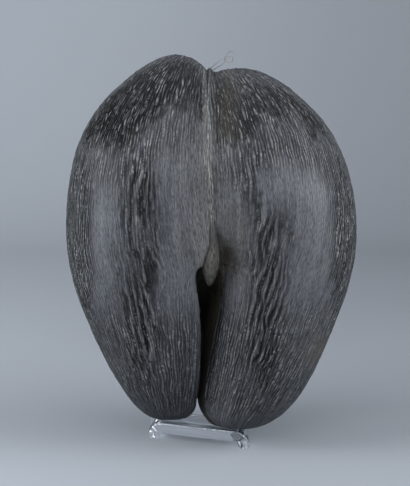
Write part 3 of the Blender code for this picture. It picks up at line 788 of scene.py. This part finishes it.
def makeShellMaterial(streaks, threads):
    made, shader, make = newMaterial("nutShell")
    maths, times, scaled, step = numberMaker(make)
    flow = make("ShaderNodeUVMap", uv_map="flow").outputs["UV"]

    def streak(name):
        across, down, waver, seed = shellLook[name]
        return make("ShaderNodeGroup", ("Vector", flow), ("Across", across), ("Down", down), ("Waver", waver),
                    ("Seed", seed), node_tree=streaks).outputs

    def mix(share, first, second):
        first, second = ((*tint, 1) if isinstance(tint, tuple) else tint for tint in (first, second))
        return make("ShaderNodeMix", (0, share), (6, first), (7, second), data_type="RGBA").outputs[2]

    def stronger(first, *others):
        for other in others:
            first = maths("MAXIMUM", first, other)
        return first

    wave, crest, shoulder, rubAndSheen, brown, seamShare, furrow, lined, dotty, crowd = (
        make("ShaderNodeAttribute", attribute_name=key).outputs["Fac"] for key in markNames)
    grain, mottle, bands = (streak(name)["Value"] for name in ("grain", "mottle", "bands"))
    hair = streak("hair")["Line"]
    across, seed = shellLook["threads"]
    found = make("ShaderNodeGroup", ("Vector", flow), ("Level", crowd), ("Across", across), ("Seed", seed),
                 node_tree=threads).outputs
    ridge, longer, shorter = found["Ridge"], found["Long"], found["Short"]
    place = make("ShaderNodeTexCoord").outputs["Object"]
    cloud = make("ShaderNodeTexNoise", ("Vector", place), ("Scale", 30.0), ("Detail", 3.0)).outputs["Fac"]
    aroundHalf = maths("SUBTRACT", mottle, 0.5)
    patch = step(scaled(aroundHalf, 1.5, shoulder), 0.28, 0.76)
    smooth = maths("SUBTRACT", 1.0, stronger(patch, furrow, dotty), clamp=True)

    # ground: grey where the shell is rubbed smooth, that lighter grey being a painted sheen; darker in the furrows,
    # on the shoulders and low down
    tone = scaled(step(cloud, 0.35, 0.65), 0.25, 0.68)
    # painted sheen: the rubbed spots are lifted towards grey, as is the lined strip beside the seam
    tone = stronger(tone, times(rubAndSheen, 0.95), times(lined, 0.78))
    # darker in the dotted zones and in the furrows; low down and in the furrows this is painted shade
    tone = times(tone, scaled(stronger(dotty, times(furrow, 0.7)), -0.34, 1.0))
    tone = scaled(step(mottle, 0.35, 0.65), 0.22, maths("SUBTRACT", tone, 0.11))
    tone = scaled(step(bands, 0.38, 0.62), 0.36, maths("SUBTRACT", tone, 0.16), clamp=True)
    warm = times(stronger(lined, times(step(bands, 0.45, 0.60), 0.5)), 0.8)
    colour = mix(tone, shellLook["ground"], mix(warm, shellLook["grey"], shellLook["warmGrey"]))
    # painted shade: the furrows' valleys and the gaps between ridges are darkened towards near-black; the streaked
    # patches on the shoulders are darkened as well
    sunk = times(step(wave, 0.80, -0.45), scaled(furrow, 0.80, 0.08))
    gapShade = scaled(step(dotty, 1.0, 1.7), 0.28, scaled(smooth, -0.40, 0.58))
    between = times(maths("SUBTRACT", 1.0, ridge), gapShade)
    inPatch = times(patch, scaled(shoulder, 0.60, 0.38))
    colour = mix(stronger(sunk, between, inPatch), colour, shellLook["dark"])
    # pale marks: short raised threads on the shoulders, long hairs beside the seam, dots low down and on the sides,
    # and the crests of the furrowed bands, which are worn pale and lightened further as a painted highlight
    raised = scaled(step(crest, -0.8, 0.8), 0.80, 0.20)
    streaked = step(scaled(aroundHalf, 0.8, shoulder), 0.12, 0.42)
    longMarks = times(longer, scaled(streaked, 0.62, 0.14))
    speckled = stronger(dotty, times(stronger(patch, furrow), 0.4))
    shortMarks = times(stronger(shorter, times(longer, 0.6)), scaled(speckled, 0.60, 0.10))
    wornLitCrests = times(times(step(wave, 0.45, 0.95), furrow), scaled(longer, 0.45, 0.34))
    marks = times(stronger(longMarks, shortMarks, wornLitCrests), raised)
    marks = times(marks, scaled(stronger(rubAndSheen, lined), -0.6, 1.0))
    fineLines = stronger(times(lined, 0.35), times(smooth, 0.16))
    marks = maths("MAXIMUM", marks, times(hair, fineLines), clamp=True)
    colour = mix(marks, colour, shellLook["pale"])
    # brown stains, painted shade in the cleft and the hollows by the tongue, the seam's grainy strands and the
    # finest grain
    colour = mix(times(brown, shellLook["brownShare"]), colour, shellLook["brown"])
    # painted shade where the brown mark goes above 1: the cleft's walls, the hollows beside the tongue and the
    # tongue's sides
    colour = mix(times(step(brown, 0.95, 1.9), shellLook["hollowShade"]), colour, shellLook["dark"])
    grains = scaled(step(grain, 0.42, 0.62), 0.75, 0.45)
    colour = mix(scaled(seamShare, grains, 0.0, clamp=True), colour, shellLook["seam"])
    colour = mix(times(step(grain, 0.55, 0.40), shellLook["grainShade"]), colour, shellLook["dark"])
    polish = times(scaled(rubAndSheen, 0.9, 0.10), scaled(ridge, 0.4, 0.6))
    polish = times(polish, scaled(patch, -0.7, 1.0))
    rise = scaled(marks, 0.6, times(grain, 0.6))
    rise = scaled(ridge, scaled(smooth, -0.7, 1.0), rise)
    bump = make("ShaderNodeBump", ("Height", rise), ("Strength", 1.0), ("Distance", shellLook["grainBump"]))
    feed(made.node_tree, shader, ("Base Color", colour), ("Roughness", shellLook["roughness"]),
         ("Specular IOR Level", shellLook["specular"]), ("Coat Weight", times(polish, shellLook["polish"])),
         ("Coat Roughness", shellLook["polishRoughness"]), ("Normal", bump.outputs["Normal"]))
    return made


def blendWithClear(made, shader, make, share, clearColour):  # lets light straight through by a share
    clear = make("ShaderNodeBsdfTransparent", ("Color", (*clearColour, 1)))
    both = make("ShaderNodeMixShader", ("Fac", share), (1, shader.outputs["BSDF"]), (2, clear.outputs["BSDF"]))
    feed(made.node_tree, made.node_tree.nodes["Material Output"], ("Surface", both.outputs["Shader"]))


stand = {
    "width": 0.0820,
    "depth": 0.0400,
    "height": 0.0138,
    "sheet": 0.0091,
    "bend": 0.0115,
    "skew": math.tan(math.radians(-23)),
    "place": (-0.01042, 0.00177),
    "edge": 0.0019,  # chamfer of the feet
    "roll": (0.0030, 0.0014),  # how far the front and back edges are rolled, inwards and in depth
    "tint": (0.78, 0.80, 0.825),
    "refraction": 1.49,
    "roughness": (0.01, 0.10),  # where it is clean and where it is smeared
    "shadowTint": (0.80, 0.82, 0.84),
}


def makeClearMaterial():
    made, shader, make = newMaterial("clearSheet")
    place = make("ShaderNodeTexCoord").outputs["Object"]
    smears = make("ShaderNodeTexNoise", ("Vector", place), ("Scale", 90.0), ("Detail", 4.0)).outputs["Fac"]
    clean, smeared = stand["roughness"]
    rough = make("ShaderNodeMapRange", ("Value", smears), ("From Min", 0.4), ("From Max", 0.75),
                 ("To Min", clean), ("To Max", smeared)).outputs["Result"]
    feed(made.node_tree, shader, ("Base Color", (*stand["tint"], 1)), ("Roughness", rough),
         ("IOR", stand["refraction"]), ("Transmission Weight", 1.0))
    # light reaches the floor through the sheet
    shadowRay = make("ShaderNodeLightPath").outputs["Is Shadow Ray"]
    blendWithClear(made, shader, make, shadowRay, stand["shadowTint"])
    return made


def buildStand(made):
    # The strip's outline in its own front view, carried from front to back. The first and last copies are
    # drawn in, less at the feet, as a polished edge is.
    half, bend, sheet, height = stand["width"] / 2, stand["bend"], stand["sheet"], stand["height"]
    angle = np.linspace(math.pi, math.pi / 2, 21)
    arc = np.stack([np.cos(angle), np.sin(angle)], -1)
    centre = np.array([-half + bend, height - bend])
    outside = np.vstack([[-half, stand["edge"]], centre + bend * arc])
    inside = np.vstack([centre + (bend - sheet) * arc[::-1], [-half + sheet, stand["edge"]]])
    foot = np.array([[-half + sheet - stand["edge"], 0.0], [-half + stand["edge"], 0.0]])
    mirror = np.array([-1, 1])
    leftToRight = [foot[1:], outside, outside[::-1] * mirror, foot[::-1] * mirror]
    outline = np.vstack(leftToRight + [inside[::-1] * mirror, inside, foot[:1]])
    way = np.roll(outline, -1, axis=0) - np.roll(outline, 1, axis=0)
    inward = np.stack([way[:, 1], -way[:, 0]], -1)
    inward /= np.linalg.norm(inward, axis=1, keepdims=True)
    inRoll, deepRoll = stand["roll"]
    rollShare = 0.25 + 0.75 * soft((outline[:, 1:] - 0.0025) / 0.004)
    turn = np.linspace(0, math.pi / 2, 9)
    rings = []
    for end in (-1, 1):
        for a in (turn if end < 0 else turn[::-1]):
            drawn = outline + inward * inRoll * rollShare * (1 - math.sin(a))
            y = stand["skew"] * drawn[:, 0] + end * (stand["depth"] / 2 - deepRoll * (1 - math.cos(a)))
            rings.append(np.stack([drawn[:, 0], y, drawn[:, 1]], -1))
    points = np.concatenate(rings) + (*stand["place"], 0)
    index = np.arange(len(points)).reshape(len(rings), len(outline))
    beside = np.roll(index, -1, axis=1)
    quads = np.stack([index[:-1], beside[:-1], beside[1:], index[1:]], -1).reshape(-1, 4)
    faces = quads.tolist() + [index[0][::-1].tolist(), index[-1].tolist()]
    mesh = bpy.data.meshes.new("standSheet")
    mesh.from_pydata(points.tolist(), [], faces)
    piece = addPiece("standSheet", mesh, made)
    mesh.set_sharp_from_angle(angle=math.radians(40))
    return piece


fibres = {
    "halfThickness": 0.00030,  # at the root
    "dark": (0.06, 0.055, 0.05),
    "pale": (0.20, 0.185, 0.165),
    "lines": (
        ((-0.0030, -0.004, 0.2985), (0.0005, -0.006, 0.3030), (0.0050, -0.008, 0.3070), (0.0085, -0.009, 0.3095)),
        ((-0.0020, -0.005, 0.2985), (0.0030, -0.010, 0.3020), (0.0090, -0.012, 0.3060), (0.0120, -0.012, 0.3110),
         (0.0165, -0.011, 0.3110), (0.0155, -0.010, 0.3070), (0.0105, -0.010, 0.3080)),
        ((0.0100, -0.010, 0.3090), (0.0125, -0.011, 0.3140), (0.0160, -0.012, 0.3155), (0.0185, -0.012, 0.3135)),
    ),
}


def makeFibreMaterial():
    made, shader, make = newMaterial("huskFibre")
    place = make("ShaderNodeTexCoord").outputs["Object"]
    tint = make("ShaderNodeTexNoise", ("Vector", place), ("Scale", 300.0)).outputs["Fac"]
    colour = ramp(make, tint, ((0.3, fibres["dark"]), (0.7, fibres["pale"])))
    feed(made.node_tree, shader, ("Base Color", colour), ("Roughness", 0.7))
    return made


def buildFibres(made):
    # Each fibre is a thin tube along a smooth curve, thinner towards its free end
    points, quads, count = [], [], 0
    around = np.linspace(0, 2 * math.pi, 7)[:, None]
    share = np.linspace(0, 1, 60)
    size = fibres["halfThickness"] * (1 - 0.6 * share) * np.where((share == 0) | (share == 1), 0, 1)
    for line in fibres["lines"]:
        path = curveThrough(line, share)
        way = np.gradient(path, axis=0)
        way /= np.linalg.norm(way, axis=1, keepdims=True)
        side = np.cross(way, (0, 1, 0))
        side /= np.linalg.norm(side, axis=1, keepdims=True)
        up = np.cross(side, way)
        ring = side[:, None] * np.cos(around) + up[:, None] * np.sin(around)
        tube = path[:, None] + size[:, None, None] * ring
        points.append(tube.reshape(-1, 3))
        quads.append(gridFaces(*tube.shape[:2], count, turned=False))
        count += len(points[-1])
    points, quads, _ = weld(np.vstack(points), np.vstack(quads))
    corners = np.zeros((quads.size, 2))
    return meshFromQuads("huskFibres", points, quads, corners, markTable(points[:, 0]), made)


studio = {
    "target": (-0.0050, -0.0037, 0.1623),
    "distance": 1.4,
    "elevation": 10.0,
    "lens": 129.56,
    # paper colours painted lighter on the left and darker on the right, as light that falls off
    "paperLeftLit": (0.305, 0.328, 0.358),
    "paperRightShaded": (0.205, 0.221, 0.241),
    "sky": (0.62, 0.68, 0.78),
    "skyStrength": 0.20,
    "softboxes": (  # name, place, size, power, colour and what it is turned to
        ("softboxLeft", (-1.25, -0.50, 0.80), (1.0, 1.1), 31.0, (0.93, 0.96, 1.0), (0, 0, 0.15)),
        ("softboxRight", (1.25, -0.45, 0.80), (1.0, 1.1), 29.0, (0.93, 0.96, 1.0), (0, 0, 0.15)),
        ("fillFront", (0.0, -1.60, 1.20), (1.6, 0.8), 18.0, (0.97, 0.98, 1.0), (0, 0, 0.15)),
        ("topLight", (0.0, -0.30, 1.90), (1.6, 1.6), 5.0, (0.97, 0.98, 1.0), (0.0, -0.1, 0.0)),
    ),
    "sweepBack": 0.85,  # where the paper starts to bend up behind, and its radius there
    "sweepRadius": 0.5,
    "paperHalfWidth": 3.0,
}


def makeBackdropMaterial():
    # Grey paper with slow blotches, painted lighter on the left and darker on the right as light that falls off,
    # and clear when seen from behind
    made, shader, make = newMaterial("seamlessPaper")
    _, times, scaled, _ = numberMaker(make)
    place = make("ShaderNodeTexCoord").outputs["Object"]
    xyz = make("ShaderNodeSeparateXYZ", ("Vector", place)).outputs
    fade = make("ShaderNodeMapRange", ("Value", xyz["Y"]), ("From Min", -0.5), ("From Max", 0.5),
                ("To Min", 0.45), ("To Max", 1.0)).outputs["Result"]
    blotches = make("ShaderNodeTexNoise", ("Vector", place), ("Scale", 2.0), ("Detail", 2.0)).outputs["Fac"]
    across = scaled(blotches, 0.10, times(xyz["X"], fade))
    share = make("ShaderNodeMapRange", ("Value", across), ("From Min", -0.35), ("From Max", 0.45)).outputs["Result"]
    # painted light fall-off from left to right, weaker on the floor in front
    colour = ramp(make, share, ((0.0, studio["paperLeftLit"]), (1.0, studio["paperRightShaded"])))
    feed(made.node_tree, shader, ("Base Color", colour), ("Roughness", 0.8))
    blendWithClear(made, shader, make, make("ShaderNodeNewGeometry").outputs["Backfacing"], (1, 1, 1))
    return made


def addCamera():
    tilt = math.radians(studio["elevation"])
    data = bpy.data.cameras.new("camera")
    data.lens, data.sensor_width = studio["lens"], 36.0
    camera = addObject("camera", data)
    away = Vector((0, -math.cos(tilt), math.sin(tilt)))
    camera.location = Vector(studio["target"]) + away * studio["distance"]
    camera.rotation_euler = (-away).to_track_quat("-Z", "Y").to_euler()
    bpy.context.scene.camera = camera


def addSoftbox(name, place, size, power, colour, aim):
    data = bpy.data.lights.new(name, "AREA")
    data.shape = "RECTANGLE"
    data.size, data.size_y = size
    data.energy = power
    data.color = colour
    light = addObject(name, data)
    light.location = place
    light.rotation_euler = (Vector(aim) - Vector(place)).to_track_quat("-Z", "Y").to_euler()


def addSky():
    world = bpy.context.scene.world or bpy.data.worlds.new("studio")
    bpy.context.scene.world = world
    world.use_nodes = True
    background = world.node_tree.nodes["Background"]
    background.inputs["Color"].default_value = (*studio["sky"], 1)
    background.inputs["Strength"].default_value = studio["skyStrength"]


def buildSweep(made):
    # Floor that bends up into a wall behind, as one sheet of paper
    angle = np.linspace(0, math.pi / 2, 25)
    radius, back, reach = studio["sweepRadius"], studio["sweepBack"], studio["paperHalfWidth"]
    bendY = back + radius * np.sin(angle)
    bendZ = radius * (1 - np.cos(angle))
    y = np.concatenate([[-reach, -1.0, 0.0], bendY, [back + radius]])
    z = np.concatenate([[0, 0, 0], bendZ, [reach]]) - 0.0003  # just under the feet
    x = np.linspace(-reach, reach, 7)
    points = np.stack([*np.meshgrid(x, y), np.meshgrid(x, z)[1]], -1)
    mesh = bpy.data.meshes.new("floor")
    faces = gridFaces(*points.shape[:2], 0, turned=True)
    mesh.from_pydata(points.reshape(-1, 3).tolist(), [], faces.tolist())
    mesh.update()
    return addPiece("floor", mesh, made)


shellMaterial = makeShellMaterial(makeStreakGroup(), makeThreadGroup())
nutPiece = buildNut(shellMaterial)
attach(nutPiece, "root")
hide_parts("nut")
print("nut shell made", len(nutPiece.data.vertices), "points")

tonguePiece = buildTongue(shellMaterial)
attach(tonguePiece, "root")
print("tongue made")

standPiece = buildStand(makeClearMaterial())
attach(standPiece, "root")
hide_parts("stand")
print("stand made")

fibrePiece = buildFibres(makeFibreMaterial())
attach(fibrePiece, "root")
print("fibres made")

floor = buildSweep(makeBackdropMaterial())
addCamera()
for softbox in studio["softboxes"]:
    addSoftbox(*softbox)
addSky()
bpy.context.scene.view_settings.view_transform = "Standard"
print("studio made")
